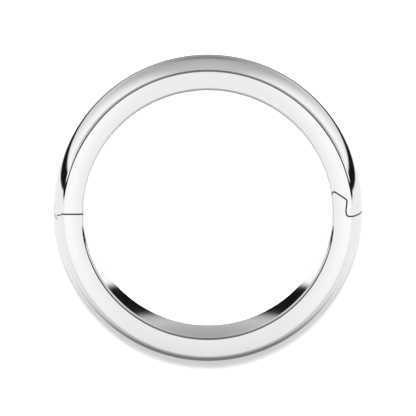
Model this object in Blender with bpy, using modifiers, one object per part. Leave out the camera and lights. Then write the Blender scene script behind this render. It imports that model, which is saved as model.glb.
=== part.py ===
"""A hinged rounded band ring, lying on its side.

Two half bands turn on a pin at the left and close with a snap at the right. The finger hole runs
along Z, the lower flat face stands on Z = 0, the hinge is at -X and the snap at +X.
"""

import math

import bmesh
import bpy

MM = 0.001

# The band's section: widths run along Z, radii are measured from the finger hole's axis.
BAND_WIDTH = 5.9 * MM
RIM_RADIUS = 8.68 * MM
CROWN_RADIUS = 10.76 * MM
DOME_ARC_RADIUS = 7.1 * MM
FILLET = 0.21 * MM

# The two seams. The snap's nose is on the lower half, its tongue on the upper half.
SEAM_GAP = 0.10 * MM
SNAP_SEAM = (
    # place along the seam, x in mm, y in mm, corner radius in mm
    ("inside the finger hole", 8.47, 1.12, 0.0),
    ("tip of the nose", 8.74, 1.63, 0.13),
    ("bulge of the nose", 9.695, 1.00, 0.25),
    ("flank of the tongue", 9.605, 0.25, 0.40),
    ("foot of the tongue", 9.66, -0.15, 0.20),
    ("outside the band", 11.40, -0.15, 0.0),
)

# The hinge. Its axis is parallel to Z, just under the crown.
OPEN_ANGLE = math.radians(50.0)
HINGE_RADIUS = 10.14 * MM
KNUCKLE_RADIUS = 0.60 * MM
HINGE_GAP = 0.05 * MM
MIDDLE_KNUCKLE = 1.60 * MM
SHOULDER = 0.02 * MM
SIDE_KNUCKLE_END = 1.80 * MM
CHEEK_END = 2.70 * MM
PIN_RADIUS = 0.30 * MM
PIN_LENGTH = 3.40 * MM
PIN_CLEARANCE = 0.03 * MM

# How finely the round shapes are cut into flats.
RING_STEPS = 96
DOME_STEPS = 5
FILLET_STEPS = 2
BARREL_STEPS = 32
CHEEK_STEPS = 5
CORNER_STEP = math.radians(18.0)
SMOOTH_ANGLE = math.radians(30.0)

# Room that a cutting shape takes beyond the band.
BEYOND = 1.0 * MM
MERGE = 0.00001 * MM

SILVER = (0.86, 0.86, 0.87, 1.0)
PIN_SILVER = (0.72, 0.72, 0.73, 1.0)

MID_HEIGHT = 0.5 * BAND_WIDTH


def clear_scene():
    for obj in list(bpy.data.objects):
        bpy.data.objects.remove(obj, do_unlink=True)


def new_collection(name):
    collection = bpy.data.collections.new(name)
    bpy.context.scene.collection.children.link(collection)
    return collection


def move_to(obj, collection):
    for old in list(obj.users_collection):
        old.objects.unlink(obj)
    collection.objects.link(obj)


def metal(name, colour, roughness):
    material = bpy.data.materials.new(name)
    material.use_nodes = True
    shader = material.node_tree.nodes["Principled BSDF"]
    shader.inputs["Base Color"].default_value = colour
    shader.inputs["Metallic"].default_value = 1.0
    shader.inputs["Roughness"].default_value = roughness
    return material


# The band's section

def dome_radius(offset):
    """Radius of the dome at a distance from the middle of the band's width."""
    return CROWN_RADIUS - DOME_ARC_RADIUS + math.sqrt(DOME_ARC_RADIUS**2 - offset**2)


def dome_end_tilt():
    """Angle on the dome's arc at which it runs into the fillet along the flat face."""
    return math.asin((MID_HEIGHT - FILLET) / (DOME_ARC_RADIUS - FILLET))


def arc(centre_r, centre_z, radius, start, end, steps):
    points = []
    for i in range(steps + 1):
        angle = start + (end - start) * i / steps
        points.append((centre_r + radius * math.cos(angle), centre_z + radius * math.sin(angle)))
    return points


def half_section():
    """Radius and offset along one half: crown, dome, flat face, finger hole's wall."""
    tilt = dome_end_tilt()
    points = arc(CROWN_RADIUS - DOME_ARC_RADIUS, 0.0, DOME_ARC_RADIUS, 0.0, tilt, DOME_STEPS)[:-1]
    outer_r = CROWN_RADIUS - DOME_ARC_RADIUS + (DOME_ARC_RADIUS - FILLET) * math.cos(tilt)
    points += arc(outer_r, MID_HEIGHT - FILLET, FILLET, tilt, 0.5 * math.pi, FILLET_STEPS)
    inner_r = RIM_RADIUS + FILLET
    points += arc(inner_r, MID_HEIGHT - FILLET, FILLET, 0.5 * math.pi, math.pi, FILLET_STEPS)
    points.append((RIM_RADIUS, 0.0))
    return points


def full_section():
    """The closed section, running down its outer side."""
    half = half_section()
    mirrored = [(radius, -offset) for radius, offset in reversed(half[1:-1])]
    loop = half + mirrored
    loop.reverse()
    return loop


# Shapes turned about an upright axis

def turned(name, profile, closed, place, steps, collection):
    """A profile of radius and height, turned once about the upright axis through its place."""
    mesh = bpy.data.meshes.new(name)
    shape = bmesh.new()
    verts = [shape.verts.new((radius, 0.0, height)) for radius, height in profile]
    for first, second in zip(verts[:-1], verts[1:]):
        shape.edges.new((first, second))
    if closed:
        shape.edges.new((verts[-1], verts[0]))
    shape.to_mesh(mesh)
    shape.free()
    obj = bpy.data.objects.new(name, mesh)
    obj.location = place
    collection.objects.link(obj)
    screw = obj.modifiers.new("turn", "SCREW")
    screw.axis = "Z"
    screw.angle = 2.0 * math.pi
    screw.steps = steps
    screw.render_steps = steps
    screw.use_merge_vertices = True
    screw.merge_threshold = MERGE
    return obj


def barrel(name, radius, length, collection):
    """A cylinder on the hinge's axis, at the middle of the band's width."""
    bpy.ops.mesh.primitive_cylinder_add(
        vertices=BARREL_STEPS,
        radius=radius,
        depth=length,
        location=(-HINGE_RADIUS, 0.0, MID_HEIGHT),
    )
    obj = bpy.context.object
    obj.name = name
    move_to(obj, collection)
    return obj


def hide_cutter(obj):
    obj.hide_render = True
    obj.display_type = "WIRE"


def combine(obj, other, operation):
    """One cut or union. The exact solver leaves open edges at the shallow steps beside the
    knuckles, and the manifold solver keeps them closed."""
    step = obj.modifiers.new(operation.lower(), "BOOLEAN")
    step.operation = operation
    step.solver = "MANIFOLD"
    step.object = other


# The seams

def rounded_corner(before, corner, after, radius):
    """Points of the arc that rounds one corner of the seam."""
    to_before = (before[0] - corner[0], before[1] - corner[1])
    to_after = (after[0] - corner[0], after[1] - corner[1])
    start = math.atan2(to_before[1], to_before[0])
    turn = math.atan2(to_after[1], to_after[0]) - start
    turn = (turn + math.pi) % (2.0 * math.pi) - math.pi
    half = 0.5 * abs(turn)
    middle = start + 0.5 * turn
    centre = (
        corner[0] + radius / math.sin(half) * math.cos(middle),
        corner[1] + radius / math.sin(half) * math.sin(middle),
    )
    sweep = math.copysign(math.pi - 2.0 * half, -turn)
    first = start - math.copysign(0.5 * math.pi, turn)
    steps = max(2, math.ceil(abs(sweep) / CORNER_STEP))
    return arc(centre[0], centre[1], radius, first, first + sweep, steps)


def seam_centreline():
    """The whole parting line, from outside the hinge to outside the snap."""
    reach = CROWN_RADIUS + BEYOND
    points = [(-reach, 0.0), (0.0, 0.0)]
    rows = [(x * MM, y * MM, radius * MM) for _, x, y, radius in SNAP_SEAM]
    for i, (x, y, radius) in enumerate(rows):
        if radius == 0.0:
            points.append((x, y))
        else:
            points += rounded_corner(rows[i - 1], (x, y), rows[i + 1], radius)
    return points


def shifted(points, distance):
    """The line moved sideways, to its left for a positive distance."""
    moved = []
    for i, (x, y) in enumerate(points):
        before = points[max(i - 1, 0)]
        after = points[min(i + 1, len(points) - 1)]
        first = math.atan2(y - before[1], x - before[0])
        second = math.atan2(after[1] - y, after[0] - x)
        if i == 0:
            first = second
        if i == len(points) - 1:
            second = first
        bend = (second - first + math.pi) % (2.0 * math.pi) - math.pi
        normal = first + 0.5 * bend + 0.5 * math.pi
        reach = distance / math.cos(0.5 * bend)
        moved.append((x + reach * math.cos(normal), y + reach * math.sin(normal)))
    return moved


def outline_prism(name, points, collection):
    """A flat outline raised through the band's whole width, as a closed mesh."""
    curve = bpy.data.curves.new(name + "_outline", "CURVE")
    curve.dimensions = "2D"
    curve.fill_mode = "BOTH"
    curve.extrude = MID_HEIGHT + BEYOND
    spline = curve.splines.new("POLY")
    spline.points.add(len(points) - 1)
    for target, (x, y) in zip(spline.points, points):
        target.co = (x, y, 0.0, 1.0)
    spline.use_cyclic_u = True
    flat = bpy.data.objects.new(name + "_outline", curve)
    flat.location = (0.0, 0.0, MID_HEIGHT)
    collection.objects.link(flat)
    bpy.context.view_layer.update()
    evaluated = flat.evaluated_get(bpy.context.evaluated_depsgraph_get())
    mesh = bpy.data.meshes.new_from_object(evaluated)
    shape = bmesh.new()
    shape.from_mesh(mesh)
    bmesh.ops.remove_doubles(shape, verts=shape.verts, dist=MERGE)
    bmesh.ops.recalc_face_normals(shape, faces=shape.faces)
    shape.to_mesh(mesh)
    shape.free()
    solid = bpy.data.objects.new(name, mesh)
    collection.objects.link(solid)
    solid.matrix_world = flat.matrix_world
    bpy.data.objects.remove(flat, do_unlink=True)
    return solid


def half_space(name, side, collection):
    """The room of one half: everything on its side of the parting line, less half the gap."""
    edge = shifted(seam_centreline(), side * 0.5 * SEAM_GAP)
    far = side * (CROWN_RADIUS + BEYOND)
    outline = edge + [(edge[-1][0], far), (edge[0][0], far)]
    return outline_prism(name, outline, collection)


# The hinge

def cheek_radius(offset):
    """Radius of the rounded cheek about the hinge's axis, so that it turns inside its pocket."""
    return (dome_radius(offset) - HINGE_RADIUS) / math.cos(0.5 * OPEN_ANGLE)


def rounded_end(name, side, start, gap, collection):
    """The side knuckle with the rounded cheek beside it, or with a gap the pocket they turn in."""
    knuckle_end = SIDE_KNUCKLE_END + gap
    cheek_end = CHEEK_END + gap
    rows = [
        (0.0, start),
        (KNUCKLE_RADIUS + gap, start),
        (KNUCKLE_RADIUS + gap, knuckle_end),
    ]
    for i in range(CHEEK_STEPS + 1):
        offset = knuckle_end + (cheek_end - knuckle_end) * i / CHEEK_STEPS
        rows.append((cheek_radius(offset) + gap, offset))
    rows.append((0.0, cheek_end))
    if side > 0.0:
        rows.reverse()
    profile = [(radius, side * offset) for radius, offset in rows]
    place = (-HINGE_RADIUS, 0.0, MID_HEIGHT)
    return turned(name, profile, False, place, BARREL_STEPS, collection)


def pin_hole(collection):
    return barrel("pin_hole", PIN_RADIUS + PIN_CLEARANCE, PIN_LENGTH + 2.0 * HINGE_GAP, collection)


# The pieces

def full_band(name, collection):
    return turned(name, full_section(), True, (0.0, 0.0, MID_HEIGHT), RING_STEPS, collection)


def cut_band(name, room, material, cutters, parts):
    """The band inside its room, as a plain mesh with smooth round faces and sharp edges."""
    blank = full_band(name + "_blank", cutters)
    combine(blank, room, "INTERSECT")
    bpy.context.view_layer.update()
    evaluated = blank.evaluated_get(bpy.context.evaluated_depsgraph_get())
    mesh = bpy.data.meshes.new_from_object(evaluated)
    mesh.name = name
    mesh.materials.clear()
    mesh.materials.append(material)
    mesh.shade_smooth()
    mesh.set_sharp_from_angle(angle=SMOOTH_ANGLE)
    piece = bpy.data.objects.new(name, mesh)
    piece.location = blank.location
    parts.objects.link(piece)
    return piece


def lower_band(cutters, parts):
    """Lower half, with the snap's nose and the hinge's middle knuckle."""
    room = half_space("lower_room", -1.0, cutters)
    start = 0.5 * MIDDLE_KNUCKLE - SHOULDER
    for side, label in ((1.0, "top"), (-1.0, "bottom")):
        combine(room, rounded_end("pocket_" + label, side, start, HINGE_GAP, cutters), "DIFFERENCE")
    combine(room, barrel("middle_knuckle", KNUCKLE_RADIUS, MIDDLE_KNUCKLE, cutters), "UNION")
    combine(room, pin_hole(cutters), "DIFFERENCE")
    return cut_band("lower_band", room, metal("lower_silver", SILVER, 0.06), cutters, parts)


def upper_band(cutters, parts):
    """Upper half, with the snap's tongue and the hinge's two side knuckles."""
    room = half_space("upper_room", 1.0, cutters)
    recess_radius = KNUCKLE_RADIUS + SEAM_GAP
    recess_length = MIDDLE_KNUCKLE + 2.0 * (HINGE_GAP + SHOULDER)
    combine(room, barrel("knuckle_recess", recess_radius, recess_length, cutters), "DIFFERENCE")
    start = 0.5 * MIDDLE_KNUCKLE + HINGE_GAP
    for side, label in ((1.0, "top"), (-1.0, "bottom")):
        combine(room, rounded_end("rounded_end_" + label, side, start, 0.0, cutters), "UNION")
    combine(room, pin_hole(cutters), "DIFFERENCE")
    return cut_band("upper_band", room, metal("upper_silver", SILVER, 0.06), cutters, parts)


def hinge_pin(parts):
    """Plain pin through the three knuckles."""
    pin = barrel("hinge_pin", PIN_RADIUS, PIN_LENGTH, parts)
    pin.data.materials.append(metal("pin_silver", PIN_SILVER, 0.25))
    pin.data.shade_smooth()
    pin.data.set_sharp_from_angle(angle=SMOOTH_ANGLE)
    return pin


def guide(name, place, collection):
    empty = bpy.data.objects.new(name, None)
    empty.location = place
    empty.empty_display_size = MM
    collection.objects.link(empty)
    return empty


def attach(child, parent):
    """Parent a piece without moving it: its location is counted from the parent's."""
    child.location = child.location - parent.location
    child.parent = parent


def build():
    clear_scene()
    parts = new_collection("hinged_band_ring")
    cutters = new_collection("cutting_shapes")
    lower = lower_band(cutters, parts)
    upper = upper_band(cutters, parts)
    pin = hinge_pin(parts)
    for cutter in cutters.objects:
        hide_cutter(cutter)
    centre = guide("ring_centre", (0.0, 0.0, 0.0), parts)
    axis = guide("hinge_axis", (-HINGE_RADIUS, 0.0, MID_HEIGHT), parts)
    attach(upper, axis)
    attach(lower, centre)
    attach(pin, centre)
    attach(axis, centre)


build()
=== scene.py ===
"""Looks of the hinged rounded band ring: mirror polished silver, lying on a pale studio floor."""

import math

import bmesh
import bpy
import numpy as np
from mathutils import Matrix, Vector


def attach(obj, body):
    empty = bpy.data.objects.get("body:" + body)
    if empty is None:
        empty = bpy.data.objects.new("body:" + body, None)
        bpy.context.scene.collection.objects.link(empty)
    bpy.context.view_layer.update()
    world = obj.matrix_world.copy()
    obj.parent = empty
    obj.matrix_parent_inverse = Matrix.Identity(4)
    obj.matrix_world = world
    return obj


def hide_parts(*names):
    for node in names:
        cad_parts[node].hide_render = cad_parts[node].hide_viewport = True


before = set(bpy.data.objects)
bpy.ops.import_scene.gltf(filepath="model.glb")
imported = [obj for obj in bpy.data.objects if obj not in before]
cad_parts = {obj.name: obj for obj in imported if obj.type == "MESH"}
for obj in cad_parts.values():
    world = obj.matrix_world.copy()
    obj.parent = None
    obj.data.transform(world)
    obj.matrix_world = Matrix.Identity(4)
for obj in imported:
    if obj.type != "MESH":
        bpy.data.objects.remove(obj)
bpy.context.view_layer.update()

MM = 0.001

# The band's section, as in the frame: widths run along Z, radii from the finger hole's axis.
BAND_WIDTH = 5.9 * MM
RIM_RADIUS = 8.68 * MM
CROWN_RADIUS = 10.76 * MM
DOME_ARC_RADIUS = 7.1 * MM
DOME_CENTRE = CROWN_RADIUS - DOME_ARC_RADIUS
FILLET = 0.21 * MM
MID_HEIGHT = 0.5 * BAND_WIDTH

# The seams.
SEAM_GAP = 0.10 * MM
SNAP_SEAM = (
    # place along the seam, x in mm, y in mm, corner radius in mm
    ("inside the finger hole", 8.47, 1.12, 0.0),
    ("tip of the nose", 8.74, 1.63, 0.13),
    ("bulge of the nose", 9.695, 1.00, 0.25),
    ("flank of the tongue", 9.605, 0.25, 0.40),
    ("foot of the tongue", 9.66, -0.15, 0.20),
    ("outside the band", 11.40, -0.15, 0.0),
)

# The hinge.
OPEN_ANGLE = math.radians(50.0)
HINGE_RADIUS = 10.14 * MM
KNUCKLE_RADIUS = 0.60 * MM
HINGE_GAP = 0.05 * MM
MIDDLE_KNUCKLE = 1.60 * MM
SHOULDER = 0.02 * MM
SIDE_KNUCKLE_END = 1.80 * MM
CHEEK_END = 2.70 * MM
PIN_RADIUS = 0.30 * MM
PIN_LENGTH = 3.40 * MM
PIN_CLEARANCE = 0.03 * MM
PIN_CHAMFER = 0.05 * MM
PIN_CHAMFER_STEPS = 3

# Steps of the round shapes.
RING_STEPS = 360
DOME_STEPS = 24
FILLET_STEPS = 8
BARREL_STEPS = 96
CHEEK_STEPS = 16
CORNER_STEP = math.radians(5.0)

# How many times finer the section is where it gives normals, and how many points go at once.
NORMAL_FINENESS = 8
VERTS_AT_ONCE = 2000

# Room that a cutting shape takes beyond the band, and how close points are that become one.
BEYOND = 1.0 * MM
MERGE = 0.00001 * MM

# A face is part of the polished outside where it lies within this angle of the section's normal.
# Elsewhere, an edge that bends by more than the sharp angle stays sharp.
POLISHED_COS = math.cos(math.radians(8.0))
SHARP_ANGLE = math.radians(30.0)

# Polishing leaves the flat faces a little pillowed: their shine leans outward from the hole's edge
# to the outer edge by these angles.
FACE_COS = math.cos(math.radians(1.0))
FACE_LEAN = (math.radians(0.4), math.radians(2.0))

# The photograph's view, in its 416 pixel frame.
FRAME_PX = 416.0
MM_PER_PX = 0.0696 * MM
CAMERA_TILT = math.radians(8.3)
CAMERA_DISTANCE = 1000.0 * MM
CAMERA_SIDE = Vector((0.0, math.sin(CAMERA_TILT), math.cos(CAMERA_TILT)))
CAMERA_UP = Vector((0.0, math.cos(CAMERA_TILT), -math.sin(CAMERA_TILT)))
SENSOR_WIDTH_MM = 36.0
RING_CENTRE_PX = (207.9, 208.15)

# The floor and its light. The plain white room light is what everything but a mirror gets.
FLOOR_SIZE = 1200.0 * MM
FLOOR_TONE = 0.86
PLAIN_LIGHT = 0.80
KEY_PLACE = Vector((0.0, 98.0 * MM, 370.0 * MM))
KEY_SIZE = 60.0 * MM
KEY_WATTS = 1.7
HOLE_LIGHT_DISTANCE = 300.0 * MM
HOLE_LIGHT_RADIUS = 4.0 * MM
HOLE_LIGHT_WATTS = 6.0

# The mirrored studio, in the grey levels of 0 to 255 that the polished silver shows.
WALL = 188
WALL_BELT = 172
WALL_SIDES = 243
WALL_LOW_SIDES = 225
WALL_SPOT = 128
ROOF = 240
ROOF_STRIP = 88
BEHIND_CAMERA_LOW = 22
BEHIND_CAMERA_HIGH = 108
TABLE_CENTRE = 236
TABLE_BESIDE_CENTRE = 250
TABLE_LOWER = 222
TABLE_SIDES = 236
TABLE_STEEP = 165
TABLE_SHADED = 116
GAP = 20

# How much light polished silver returns, and how far its streaks change that.
SILVER_TONE = 0.93
TONE_CHANGE = 0.01

# Most of a noise's values lie between these.
NOISE_LOW = 0.3
NOISE_HIGH = 0.7


# The band's section

def dome_radius(offset):
    return DOME_CENTRE + math.sqrt(DOME_ARC_RADIUS**2 - offset**2)


def dome_end_tilt():
    """Angle on the dome's arc at which it runs into the fillet along the flat face."""
    return math.asin((MID_HEIGHT - FILLET) / (DOME_ARC_RADIUS - FILLET))


def outer_fillet_radius():
    """Distance of the outer fillet's centre from the finger hole's axis."""
    return DOME_CENTRE + (DOME_ARC_RADIUS - FILLET) * math.cos(dome_end_tilt())


def arc(centre_r, centre_z, radius, start, end, steps):
    points = []
    for i in range(steps + 1):
        angle = start + (end - start) * i / steps
        points.append((centre_r + radius * math.cos(angle), centre_z + radius * math.sin(angle)))
    return points


def half_section(fineness):
    """Radius and offset along one half: crown, dome, flat face, finger hole's wall."""
    tilt = dome_end_tilt()
    points = arc(DOME_CENTRE, 0.0, DOME_ARC_RADIUS, 0.0, tilt, DOME_STEPS * fineness)[:-1]
    fillet_steps = FILLET_STEPS * fineness
    fillet_z = MID_HEIGHT - FILLET
    points += arc(outer_fillet_radius(), fillet_z, FILLET, tilt, 0.5 * math.pi, fillet_steps)
    points += arc(RIM_RADIUS + FILLET, fillet_z, FILLET, 0.5 * math.pi, math.pi, fillet_steps)
    points.append((RIM_RADIUS, 0.0))
    return points


def full_section(fineness=1):
    half = half_section(fineness)
    other_half = [(radius, -offset) for radius, offset in reversed(half[1:-1])]
    return list(reversed(half + other_half))


def section_normals():
    """Fine points along the section with the section's own outward normal at each."""
    points = np.array(full_section(NORMAL_FINENESS))
    ahead = np.roll(points, -1, axis=0) - points
    lengths = np.linalg.norm(ahead, axis=1)
    sides = np.stack([-ahead[:, 1], ahead[:, 0]], axis=1) / lengths[:, None]
    middles = points + 0.5 * ahead
    return middles, sides


# Shapes turned about an upright axis

def turned(name, profile, closed, place, steps):
    mesh = bpy.data.meshes.new(name)
    shape = bmesh.new()
    verts = [shape.verts.new((radius, 0.0, height)) for radius, height in profile]
    for first, second in zip(verts[:-1], verts[1:]):
        shape.edges.new((first, second))
    if closed:
        shape.edges.new((verts[-1], verts[0]))
    shape.to_mesh(mesh)
    shape.free()
    obj = bpy.data.objects.new(name, mesh)
    obj.location = place
    bpy.context.scene.collection.objects.link(obj)
    screw = obj.modifiers.new("turn", "SCREW")
    screw.axis = "Z"
    screw.angle = 2.0 * math.pi
    screw.steps = steps
    screw.render_steps = steps
    screw.use_merge_vertices = True
    screw.merge_threshold = MERGE
    return obj


def barrel(name, radius, length):
    bpy.ops.mesh.primitive_cylinder_add(
        vertices=BARREL_STEPS,
        radius=radius,
        depth=length,
        location=(-HINGE_RADIUS, 0.0, MID_HEIGHT),
    )
    obj = bpy.context.object
    obj.name = name
    return obj


def combine(obj, other, operation):
    step = obj.modifiers.new(operation.lower(), "BOOLEAN")
    step.operation = operation
    step.solver = "MANIFOLD"
    step.object = other


# The seams

def rounded_corner(before, corner, after, radius):
    """Points of the arc that rounds a corner of the seam's line."""
    to_before = (before[0] - corner[0], before[1] - corner[1])
    to_after = (after[0] - corner[0], after[1] - corner[1])
    start = math.atan2(to_before[1], to_before[0])
    turn = math.atan2(to_after[1], to_after[0]) - start
    turn = (turn + math.pi) % (2.0 * math.pi) - math.pi
    half = 0.5 * abs(turn)
    middle = start + 0.5 * turn
    centre = (
        corner[0] + radius / math.sin(half) * math.cos(middle),
        corner[1] + radius / math.sin(half) * math.sin(middle),
    )
    sweep = math.copysign(math.pi - 2.0 * half, -turn)
    first = start - math.copysign(0.5 * math.pi, turn)
    steps = max(2, math.ceil(abs(sweep) / CORNER_STEP))
    return arc(centre[0], centre[1], radius, first, first + sweep, steps)


def seam_centreline():
    """Both seams as one line, from outside the hinge to outside the snap."""
    reach = CROWN_RADIUS + BEYOND
    points = [(-reach, 0.0), (0.0, 0.0)]
    rows = [(x * MM, y * MM, radius * MM) for _, x, y, radius in SNAP_SEAM]
    for i, (x, y, radius) in enumerate(rows):
        if radius == 0.0:
            points.append((x, y))
        else:
            points += rounded_corner(rows[i - 1], (x, y), rows[i + 1], radius)
    return points


def shifted(points, distance):
    """A line moved to its own left by a distance."""
    moved = []
    for i, (x, y) in enumerate(points):
        before = points[max(i - 1, 0)]
        after = points[min(i + 1, len(points) - 1)]
        first = math.atan2(y - before[1], x - before[0])
        second = math.atan2(after[1] - y, after[0] - x)
        if i == 0:
            first = second
        if i == len(points) - 1:
            second = first
        bend = (second - first + math.pi) % (2.0 * math.pi) - math.pi
        normal = first + 0.5 * bend + 0.5 * math.pi
        reach = distance / math.cos(0.5 * bend)
        moved.append((x + reach * math.cos(normal), y + reach * math.sin(normal)))
    return moved


def outline_prism(name, points):
    """A solid over an outline, taller than the band at both ends."""
    curve = bpy.data.curves.new(name + "_outline", "CURVE")
    curve.dimensions = "2D"
    curve.fill_mode = "BOTH"
    curve.extrude = MID_HEIGHT + BEYOND
    spline = curve.splines.new("POLY")
    spline.points.add(len(points) - 1)
    for target, (x, y) in zip(spline.points, points):
        target.co = (x, y, 0.0, 1.0)
    spline.use_cyclic_u = True
    flat = bpy.data.objects.new(name + "_outline", curve)
    flat.location = (0.0, 0.0, MID_HEIGHT)
    bpy.context.scene.collection.objects.link(flat)
    bpy.context.view_layer.update()
    evaluated = flat.evaluated_get(bpy.context.evaluated_depsgraph_get())
    mesh = bpy.data.meshes.new_from_object(evaluated)
    shape = bmesh.new()
    shape.from_mesh(mesh)
    bmesh.ops.remove_doubles(shape, verts=shape.verts, dist=MERGE)
    bmesh.ops.recalc_face_normals(shape, faces=shape.faces)
    shape.to_mesh(mesh)
    shape.free()
    solid = bpy.data.objects.new(name, mesh)
    bpy.context.scene.collection.objects.link(solid)
    solid.matrix_world = flat.matrix_world
    bpy.data.objects.remove(flat, do_unlink=True)
    return solid


def half_space(name, side):
    """All the room on one side of the seams, half their gap away from their middle."""
    edge = shifted(seam_centreline(), side * 0.5 * SEAM_GAP)
    far = side * (CROWN_RADIUS + BEYOND)
    outline = edge + [(edge[-1][0], far), (edge[0][0], far)]
    return outline_prism(name, outline)


# The hinge

def cheek_radius(offset):
    """Radius about the pin of a cheek that meets the dome half the open angle to either side."""
    return (dome_radius(offset) - HINGE_RADIUS) / math.cos(0.5 * OPEN_ANGLE)


def rounded_end(name, side, start, gap):
    """A side knuckle with its rounded cheek or, with a gap, the pocket that it turns in."""
    knuckle_end = SIDE_KNUCKLE_END + gap
    cheek_end = CHEEK_END + gap
    rows = [
        (0.0, start),
        (KNUCKLE_RADIUS + gap, start),
        (KNUCKLE_RADIUS + gap, knuckle_end),
    ]
    for i in range(CHEEK_STEPS + 1):
        offset = knuckle_end + (cheek_end - knuckle_end) * i / CHEEK_STEPS
        rows.append((cheek_radius(offset) + gap, offset))
    rows.append((0.0, cheek_end))
    if side > 0.0:
        rows.reverse()
    profile = [(radius, side * offset) for radius, offset in rows]
    return turned(name, profile, False, (-HINGE_RADIUS, 0.0, MID_HEIGHT), BARREL_STEPS)


def pin_hole():
    return barrel("pin_hole", PIN_RADIUS + PIN_CLEARANCE, PIN_LENGTH + 2.0 * HINGE_GAP)


def lower_room():
    """All that the lower half may fill, before it is cut to the band's section."""
    room = half_space("lower_room", -1.0)
    start = 0.5 * MIDDLE_KNUCKLE - SHOULDER
    for side in (1.0, -1.0):
        combine(room, rounded_end("pocket", side, start, HINGE_GAP), "DIFFERENCE")
    combine(room, barrel("middle_knuckle", KNUCKLE_RADIUS, MIDDLE_KNUCKLE), "UNION")
    combine(room, pin_hole(), "DIFFERENCE")
    return room


def upper_room():
    """All that the upper half may fill, before it is cut to the band's section."""
    room = half_space("upper_room", 1.0)
    recess_radius = KNUCKLE_RADIUS + SEAM_GAP
    recess_length = MIDDLE_KNUCKLE + 2.0 * (HINGE_GAP + SHOULDER)
    combine(room, barrel("knuckle_recess", recess_radius, recess_length), "DIFFERENCE")
    start = 0.5 * MIDDLE_KNUCKLE + HINGE_GAP
    for side in (1.0, -1.0):
        combine(room, rounded_end("rounded_end", side, start, 0.0), "UNION")
    combine(room, pin_hole(), "DIFFERENCE")
    return room


# The finished meshes

def evaluated_mesh(obj):
    bpy.context.view_layer.update()
    evaluated = obj.evaluated_get(bpy.context.evaluated_depsgraph_get())
    return bpy.data.meshes.new_from_object(evaluated)


def read_array(source, field, columns, kind):
    values = np.empty(len(source) * columns, kind)
    source.foreach_get(field, values)
    return values.reshape(-1, columns) if columns > 1 else values


def nearest_section_point(verts, radius, middles):
    """Which of the section's fine points is nearest to each vertex."""
    nearest = np.empty(len(verts), np.int32)
    for start in range(0, len(verts), VERTS_AT_ONCE):
        part = slice(start, start + VERTS_AT_ONCE)
        gaps = (radius[part, None] - middles[None, :, 0]) ** 2
        gaps += (verts[part, 2, None] - middles[None, :, 1]) ** 2
        nearest[part] = np.argmin(gaps, axis=1)
    return nearest


def exact_normals(verts):
    """The section's own normal at each point, leaning outward on the flat faces."""
    middles, sides = section_normals()
    radius = np.hypot(verts[:, 0], verts[:, 1])
    nearest = nearest_section_point(verts, radius, middles)
    exact = np.empty((len(verts), 3))
    exact[:, 0] = sides[nearest, 0] * verts[:, 0] / radius
    exact[:, 1] = sides[nearest, 0] * verts[:, 1] / radius
    exact[:, 2] = sides[nearest, 1]
    flat = np.abs(exact[:, 2]) > FACE_COS
    lean = np.interp(radius, (RIM_RADIUS + FILLET, outer_fillet_radius()), FACE_LEAN)
    for axis in (0, 1):
        leaning = np.sin(lean) * verts[:, axis] / radius
        exact[:, axis] = np.where(flat, leaning, exact[:, axis])
    exact[:, 2] = np.where(flat, np.sign(exact[:, 2]) * np.cos(lean), exact[:, 2])
    return exact


def polish(mesh):
    """Exact normals on the polished outside, and the second material, darkened with painted shade,
    on the seams' own walls.
    """
    exact = exact_normals(read_array(mesh.vertices, "co", 3, np.float32))
    at_loops = exact[read_array(mesh.loops, "vertex_index", 1, np.int32)]
    face_normals = read_array(mesh.polygons, "normal", 3, np.float32)
    sizes = read_array(mesh.polygons, "loop_total", 1, np.int32)
    face_of_loop = np.repeat(np.arange(len(sizes)), sizes)
    agree = np.einsum("ij,ij->i", at_loops, face_normals[face_of_loop])
    lowest = np.full(len(sizes), 2.0)
    np.minimum.at(lowest, face_of_loop, agree)
    outside = lowest > POLISHED_COS
    mesh.shade_smooth()
    mesh.set_sharp_from_angle(angle=SHARP_ANGLE)
    own = read_array(mesh.corner_normals, "vector", 3, np.float32)
    normals = np.where(outside[face_of_loop][:, None], at_loops, own)
    mesh.normals_split_custom_set(normals.tolist())
    mesh.polygons.foreach_set("material_index", np.where(outside, 0, 1).astype(np.int32))
    mesh.update()


def band(name, node, body, room, materials):
    """One half: the turned section inside its room, made round the origin and then lifted."""
    blank = turned(name + "_blank", full_section(), True, (0.0, 0.0, 0.0), RING_STEPS)
    room.location.z -= MID_HEIGHT
    for step in room.modifiers:
        step.object.location.z -= MID_HEIGHT
    combine(blank, room, "INTERSECT")
    mesh = evaluated_mesh(blank)
    mesh.name = name
    mesh.materials.clear()
    for material in materials:
        mesh.materials.append(material)
    polish(mesh)
    piece = bpy.data.objects.new(name, mesh)
    piece.location.z = MID_HEIGHT
    bpy.context.scene.collection.objects.link(piece)
    leftovers = [step.object for step in room.modifiers] + [room, blank]
    for obj in leftovers:
        bpy.data.objects.remove(obj, do_unlink=True)
    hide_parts(node)
    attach(piece, body)


def hinge_pin(material):
    pin = barrel("pin", PIN_RADIUS, PIN_LENGTH)
    bevel = pin.modifiers.new("chamfer", "BEVEL")
    bevel.width = PIN_CHAMFER
    bevel.segments = PIN_CHAMFER_STEPS
    mesh = evaluated_mesh(pin)
    mesh.materials.clear()
    mesh.materials.append(material)
    mesh.shade_smooth()
    mesh.set_sharp_from_angle(angle=SHARP_ANGLE)
    piece = bpy.data.objects.new("turned_pin", mesh)
    piece.location = pin.location
    bpy.context.scene.collection.objects.link(piece)
    bpy.data.objects.remove(pin, do_unlink=True)
    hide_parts("hinge_pin")
    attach(piece, "lower_half")


# Materials

def link(tree, source, target):
    tree.links.new(source, target)


def add(tree, kind):
    return tree.nodes.new(kind)


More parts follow.
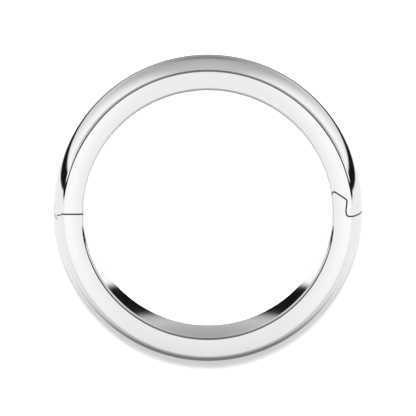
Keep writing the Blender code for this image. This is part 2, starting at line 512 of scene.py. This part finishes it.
class Sums:
    """Short names for the maths nodes of one node tree."""

    def __init__(self, tree):
        self.tree = tree

    def op(self, kind, *values):
        node = add(self.tree, "ShaderNodeMath")
        node.operation = kind
        for socket, value in zip(node.inputs, values):
            if isinstance(value, (int, float)):
                socket.default_value = value
            else:
                link(self.tree, value, socket)
        return node.outputs[0]

    def ramp(self, value, low, high):
        """0 below low, 1 above high, smooth between."""
        node = add(self.tree, "ShaderNodeMapRange")
        node.interpolation_type = "SMOOTHSTEP"
        node.inputs["From Min"].default_value = low
        node.inputs["From Max"].default_value = high
        link(self.tree, value, node.inputs["Value"])
        return node.outputs["Result"]

    def mix(self, factor, first, second):
        """first where factor is 0, second where it is 1."""
        return self.op("ADD", first, self.op("MULTIPLY", factor, self.op("SUBTRACT", second, first)))

    def times(self, *values):
        total = values[0]
        for value in values[1:]:
            total = self.op("MULTIPLY", total, value)
        return total

    def without(self, value):
        return self.op("SUBTRACT", 1.0, value)

    def band(self, value, low, high, soft):
        """1 between low and high, 0 outside them, smooth over soft to either side of each."""
        rise = self.ramp(value, low - soft, low + soft)
        fall = self.without(self.ramp(value, high - soft, high + soft))
        return self.op("MULTIPLY", rise, fall)


def streaks(tree, across, along):
    """Noise drawn out round the finger hole, as a polishing wheel leaves it."""
    sums = Sums(tree)
    place = add(tree, "ShaderNodeTexCoord")
    parts = add(tree, "ShaderNodeSeparateXYZ")
    link(tree, place.outputs["Object"], parts.inputs["Vector"])
    x, y, z = parts.outputs
    radius = sums.op("SQRT", sums.op("ADD", sums.times(x, x), sums.times(y, y)))
    angle = sums.op("ARCTAN2", y, x)
    round_ring = add(tree, "ShaderNodeCombineXYZ")
    link(tree, sums.op("DIVIDE", radius, across), round_ring.inputs["X"])
    link(tree, sums.op("DIVIDE", z, across), round_ring.inputs["Y"])
    link(tree, sums.op("MULTIPLY", angle, CROWN_RADIUS / along), round_ring.inputs["Z"])
    noise = add(tree, "ShaderNodeTexNoise")
    noise.inputs["Scale"].default_value = 1.0
    noise.inputs["Detail"].default_value = 4.0
    noise.inputs["Roughness"].default_value = 0.6
    link(tree, round_ring.outputs["Vector"], noise.inputs["Vector"])
    return noise.outputs["Fac"]


def spread(tree, value, low, high):
    """The middle of a noise's range, drawn out between two values."""
    node = add(tree, "ShaderNodeMapRange")
    node.inputs["From Min"].default_value = NOISE_LOW
    node.inputs["From Max"].default_value = NOISE_HIGH
    node.inputs["To Min"].default_value = low
    node.inputs["To Max"].default_value = high
    link(tree, value, node.inputs["Value"])
    return node.outputs["Result"]


def silver(name, tone, roughness, streak, relief):
    """Silver whose tone, roughness and height follow fine streaks round the ring.

    tone and roughness are lowest and highest values, streak is a streak's width and length, and
    relief is its height.
    """
    material = bpy.data.materials.new(name)
    material.use_nodes = True
    tree = material.node_tree
    shader = tree.nodes["Principled BSDF"]
    shader.inputs["Metallic"].default_value = 1.0
    pattern = streaks(tree, *streak)
    link(tree, spread(tree, pattern, *roughness), shader.inputs["Roughness"])
    grey = add(tree, "ShaderNodeCombineColor")
    level = spread(tree, pattern, *tone)
    for channel in ("Red", "Green", "Blue"):
        link(tree, level, grey.inputs[channel])
    link(tree, grey.outputs["Color"], shader.inputs["Base Color"])
    bump = add(tree, "ShaderNodeBump")
    bump.inputs["Strength"].default_value = 1.0
    bump.inputs["Distance"].default_value = relief
    link(tree, pattern, bump.inputs["Height"])
    link(tree, bump.outputs["Normal"], shader.inputs["Normal"])
    return material


def polished_silver():
    """The outside: mirror bright, with hairlines that only just blur what it mirrors."""
    return silver(
        "polished_silver",
        tone=(SILVER_TONE - TONE_CHANGE, SILVER_TONE + TONE_CHANGE),
        roughness=(0.03, 0.07),
        streak=(0.04 * MM, 2.5 * MM),
        relief=0.00002 * MM,
    )


def seam_silver_painted_shade():
    """The seams' own walls: cut, and left satin, which is their real rougher finish; their dark tone
    is painted shade, so that the narrow gap between the halves reads dark.
    """
    return silver(
        "seam_silver_painted_shade",
        # Painted shade: a tone far below silver's own, standing in for the shade that fills the
        # seams' gap.
        tone=(0.32, 0.44),
        roughness=(0.38, 0.52),
        streak=(0.05 * MM, 0.4 * MM),
        relief=0.001 * MM,
    )


def drawn_silver():
    """The hinge pin: wire, lightly rubbed."""
    return silver(
        "drawn_silver",
        tone=(0.66, 0.76),
        roughness=(0.20, 0.32),
        streak=(0.03 * MM, 0.3 * MM),
        relief=0.0005 * MM,
    )


# The studio

def camera():
    data = bpy.data.cameras.new("photo_camera")
    data.sensor_width = SENSOR_WIDTH_MM
    to_front = CAMERA_DISTANCE - MID_HEIGHT * math.cos(CAMERA_TILT)
    data.lens = data.sensor_width * to_front / (FRAME_PX * MM_PER_PX)
    data.clip_start = 0.01
    data.clip_end = 5.0
    obj = bpy.data.objects.new("photo_camera", data)
    right_shift, down_shift = [(place - 0.5 * FRAME_PX) * MM_PER_PX for place in RING_CENTRE_PX]
    target = Vector((-right_shift, 0.0, MID_HEIGHT)) + CAMERA_UP * down_shift
    obj.location = target + CAMERA_SIDE * CAMERA_DISTANCE
    obj.rotation_euler = (-CAMERA_TILT, 0.0, 0.0)
    bpy.context.scene.collection.objects.link(obj)
    bpy.context.scene.camera = obj


def floor():
    bpy.ops.mesh.primitive_plane_add(size=FLOOR_SIZE, location=(0.0, 0.0, 0.0))
    obj = bpy.context.object
    obj.name = "studio_floor"
    material = bpy.data.materials.new("studio_floor")
    material.use_nodes = True
    shader = material.node_tree.nodes["Principled BSDF"]
    shader.inputs["Base Color"].default_value = (FLOOR_TONE, FLOOR_TONE, FLOOR_TONE, 1.0)
    shader.inputs["Roughness"].default_value = 0.9
    shader.inputs["Specular IOR Level"].default_value = 0.0
    obj.data.materials.append(material)
    obj.visible_glossy = False


def seen(grey):
    """Strength of light that the polished silver shows as a grey level of 0 to 255.

    The bare numbers are the sRGB curve's own.
    """
    share = grey / 255.0
    return ((share + 0.055) / 1.055) ** 2.4 / SILVER_TONE


class Directions:
    """Measures of the direction that a mirrored ray goes in, as the frame has it.

    y is up in the room and z runs towards the camera. side is how far it goes to the left or right,
    below how far down, and turn is side as a share of the level part.
    """

    def __init__(self, tree, sums):
        place = add(tree, "ShaderNodeTexCoord")
        parts = add(tree, "ShaderNodeSeparateXYZ")
        link(tree, place.outputs["Generated"], parts.inputs["Vector"])
        x, self.y, self.z = parts.outputs
        self.side = sums.op("ABSOLUTE", x)
        self.below = sums.op("MULTIPLY", -1.0, self.y)
        # A little over 1, so that the level part is never 0.
        level = sums.op("SQRT", sums.op("SUBTRACT", 1.0001, sums.times(self.y, self.y)))
        self.turn = sums.op("DIVIDE", self.side, level)


def back_wall(sums, to):
    """The tent's back wall: grey in the middle, white to the sides, darker in a spot low down."""
    above_foot = sums.ramp(to.y, 0.105, 0.15)
    above_belt = sums.ramp(to.y, 0.45, 0.80)
    to_sides = sums.ramp(to.turn, 0.22, 0.68)
    low_sides = sums.times(sums.band(to.turn, 0.18, 0.55, 0.10), sums.band(to.y, 0.10, 0.26, 0.06))
    spot = sums.times(sums.band(to.turn, -0.5, 0.12, 0.10), sums.band(to.y, 0.20, 0.44, 0.09))
    wall = sums.mix(above_foot, seen(WALL), seen(WALL_BELT))
    wall = sums.mix(above_belt, wall, seen(WALL))
    wall = sums.mix(to_sides, wall, seen(WALL_SIDES))
    wall = sums.mix(sums.op("MULTIPLY", low_sides, 0.5), wall, seen(WALL_LOW_SIDES))
    return sums.mix(spot, wall, seen(WALL_SPOT))


def roof(sums, to, wall):
    """The tent's roof over its wall: white towards the camera, a grey strip across its top."""
    towards_camera = sums.ramp(to.z, -0.45, -0.25)
    slant = sums.op("SUBTRACT", to.z, sums.op("MULTIPLY_ADD", to.y, 0.70, -0.62))
    strip = sums.times(sums.band(slant, -0.22, 0.34, 0.14), sums.ramp(to.y, 0.18, 0.30))
    strip = sums.times(strip, sums.ramp(to.z, -0.59, -0.50))
    return sums.mix(strip, sums.mix(towards_camera, wall, seen(ROOF)), seen(ROOF_STRIP))


def open_front(sums, to, tent):
    """The room behind the camera, through the tent's open front: black low down, grey above."""
    higher = sums.ramp(to.y, 0.26, 0.50)
    behind = sums.mix(higher, seen(BEHIND_CAMERA_LOW), seen(BEHIND_CAMERA_HIGH))
    opening = sums.op("SUBTRACT", to.z, sums.op("MULTIPLY", to.side, 0.28))
    off_lens = sums.without(sums.ramp(to.z, 0.978, 0.988))
    return sums.mix(sums.times(sums.ramp(opening, 0.27, 0.42), off_lens), tent, behind)


def table(sums, to):
    """The white table, darker straight down and behind, where the ring shades it."""
    off_centre = sums.ramp(to.side, 0.018, 0.060)
    lower = sums.ramp(to.below, 0.15, 0.26)
    to_sides = sums.ramp(to.side, 0.06, 0.30)
    middle = sums.without(sums.ramp(to.side, 0.20, 0.85))
    steep = sums.ramp(to.below, 0.25, 0.90)
    steep = sums.times(steep, sums.op("MULTIPLY_ADD", middle, 0.55, 0.45))
    shaded = sums.times(
        sums.without(sums.ramp(to.turn, 0.20, 0.55)),
        sums.ramp(to.below, 0.26, 0.46),
        sums.without(sums.ramp(to.z, -0.5, 0.1)),
    )
    white = sums.mix(off_centre, seen(TABLE_CENTRE), seen(TABLE_BESIDE_CENTRE))
    white = sums.mix(lower, white, seen(TABLE_LOWER))
    white = sums.mix(to_sides, white, seen(TABLE_SIDES))
    white = sums.mix(steep, white, seen(TABLE_STEEP))
    return sums.mix(shaded, white, seen(TABLE_SHADED))


def black_gap(sums, to):
    """Where the gap between table and tent shows black, which is not right behind the camera."""
    foot = sums.op("MULTIPLY_ADD", sums.ramp(to.z, 0.15, 0.50), -0.04, -0.026)
    return sums.times(
        sums.ramp(sums.op("SUBTRACT", to.y, foot), -0.012, 0.012),
        sums.without(sums.ramp(to.y, 0.066, 0.090)),
        sums.without(sums.ramp(to.z, 0.988, 0.996)),
    )


def white_light(tree):
    node = add(tree, "ShaderNodeBackground")
    node.inputs["Color"].default_value = (1.0, 1.0, 1.0, 1.0)
    return node


def studio_world():
    """What the silver mirrors: a white tent over a white table, with a black gap between them.

    Only glossy rays see it. All others get a plain white light.
    """
    world = bpy.data.worlds.new("studio")
    bpy.context.scene.world = world
    world.use_nodes = True
    tree = world.node_tree
    tree.nodes.clear()
    sums = Sums(tree)
    to = Directions(tree, sums)
    tent = open_front(sums, to, roof(sums, to, back_wall(sums, to)))
    dim_foot = sums.op("MULTIPLY_ADD", sums.ramp(to.y, 0.058, 0.112), 0.65, 0.35)
    above_table = sums.ramp(to.y, 0.0, 0.02)
    room = sums.mix(above_table, table(sums, to), sums.times(tent, dim_foot))
    room = sums.mix(black_gap(sums, to), room, seen(GAP))

    mirrored = white_light(tree)
    link(tree, room, mirrored.inputs["Strength"])
    plain = white_light(tree)
    plain.inputs["Strength"].default_value = PLAIN_LIGHT
    rays = add(tree, "ShaderNodeLightPath")
    choose = add(tree, "ShaderNodeMixShader")
    link(tree, rays.outputs["Is Glossy Ray"], choose.inputs[0])
    link(tree, plain.outputs[0], choose.inputs[1])
    link(tree, mirrored.outputs[0], choose.inputs[2])
    output = add(tree, "ShaderNodeOutputWorld")
    link(tree, choose.outputs[0], output.inputs["Surface"])


def hang(data, place):
    """Puts a light in its place, turned to the origin and hidden from mirrors."""
    obj = bpy.data.objects.new(data.name, data)
    obj.location = place
    obj.rotation_euler = (-place).to_track_quat("-Z", "Y").to_euler()
    obj.visible_glossy = False
    bpy.context.scene.collection.objects.link(obj)


def key_light():
    """Soft light from the photograph's top, so that the ring's shadow lies along its lower edge."""
    data = bpy.data.lights.new("key", "AREA")
    data.shape = "DISK"
    data.size = KEY_SIZE
    data.energy = KEY_WATTS
    hang(data, KEY_PLACE)


def hole_light():
    """A narrow light down the camera's own line, which keeps the floor in the finger hole white."""
    data = bpy.data.lights.new("hole_light", "SPOT")
    data.energy = HOLE_LIGHT_WATTS
    data.shadow_soft_size = HOLE_LIGHT_RADIUS
    data.spot_size = 2.0 * math.atan(RIM_RADIUS / HOLE_LIGHT_DISTANCE)
    data.spot_blend = 0.2
    hang(data, CAMERA_SIDE * HOLE_LIGHT_DISTANCE)


def build():
    bpy.context.scene.view_settings.view_transform = "Standard"
    camera()
    studio_world()
    floor()
    key_light()
    hole_light()
    silvers = (polished_silver(), seam_silver_painted_shade())
    band("lower_shell", "lower_band", "lower_half", lower_room(), silvers)
    band("upper_shell", "upper_band", "upper_half", upper_room(), silvers)
    hinge_pin(drawn_silver())


build()
